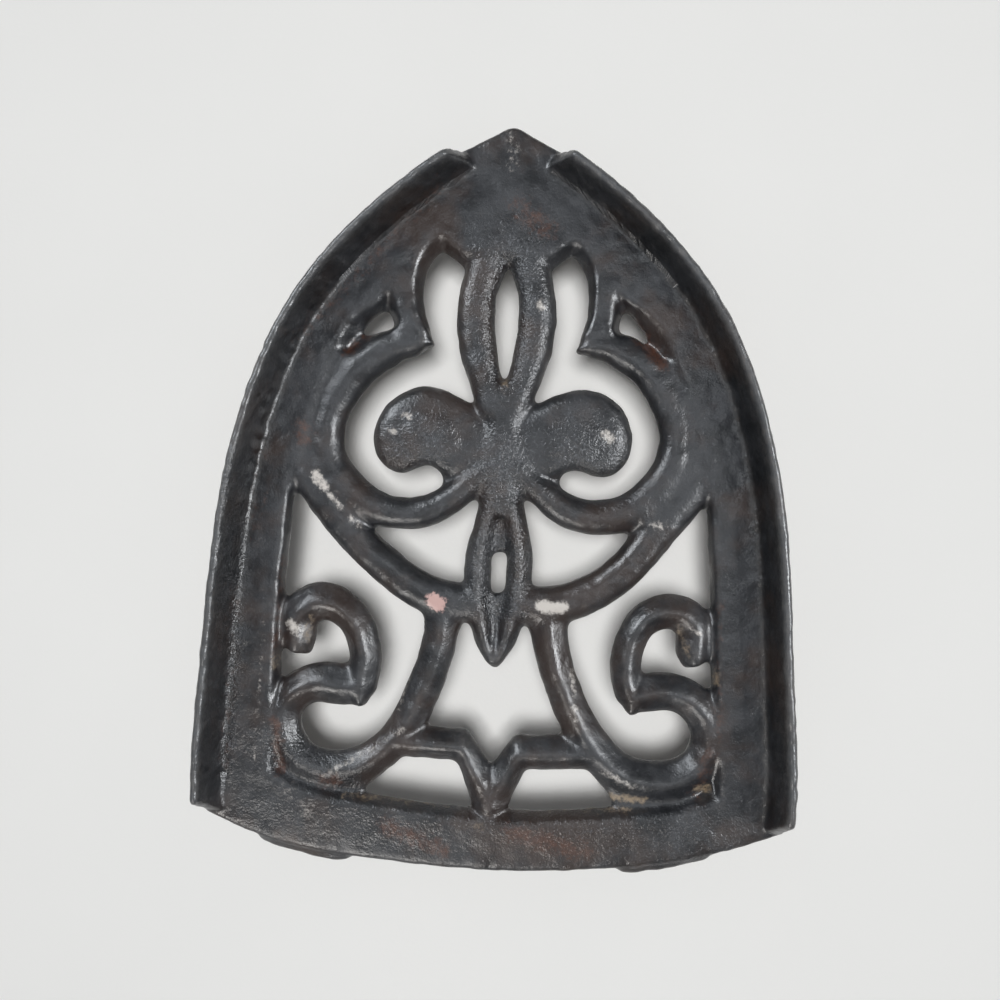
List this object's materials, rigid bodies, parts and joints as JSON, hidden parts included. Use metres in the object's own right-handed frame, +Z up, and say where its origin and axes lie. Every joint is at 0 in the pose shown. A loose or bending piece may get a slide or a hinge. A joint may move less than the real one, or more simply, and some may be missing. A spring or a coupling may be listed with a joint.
{
  "type": "flat iron stand",
  "caption": "Openwork cast-iron stand for a flat iron, pointed at the nose, with two side rails to stop the iron sliding off and three short feet.",
  "frame": {"origin": "on the table, under the middle of the stand's length and width", "axes": "+Y to the pointed nose, +X to the right seen from above with the nose away, +Z up"},
  "size_m": [0.126, 0.16, 0.032],
  "materials": {
    "blackened_iron": "satin blackened sand casting, worn and lightly rusted"
  },
  "bodies": {
    "root": {"centre_boss": "blackened_iron", "crown_loop": "blackened_iron", "heel_bar": "blackened_iron", "left_canopy_scroll": "blackened_iron", "left_foot_scroll": "blackened_iron", "left_gate_stub": "blackened_iron", "left_heel_foot": "blackened_iron", "left_hook_scroll": "blackened_iron", "left_inner_scroll": "blackened_iron", "left_leg": "blackened_iron", "left_lobe": "blackened_iron", "left_rail": "blackened_iron", "left_side_bar": "blackened_iron", "left_swag": "blackened_iron", "nose_foot": "blackened_iron", "nose_plate": "blackened_iron", "pendant": "blackened_iron", "right_canopy_scroll": "blackened_iron", "right_foot_scroll": "blackened_iron", "right_gate_stub": "blackened_iron", "right_heel_foot": "blackened_iron", "right_hook_scroll": "blackened_iron", "right_inner_scroll": "blackened_iron", "right_leg": "blackened_iron", "right_lobe": "blackened_iron", "right_rail": "blackened_iron", "right_side_bar": "blackened_iron", "right_swag": "blackened_iron", "sill_bar": "blackened_iron"}
  },
  "joints": []
}
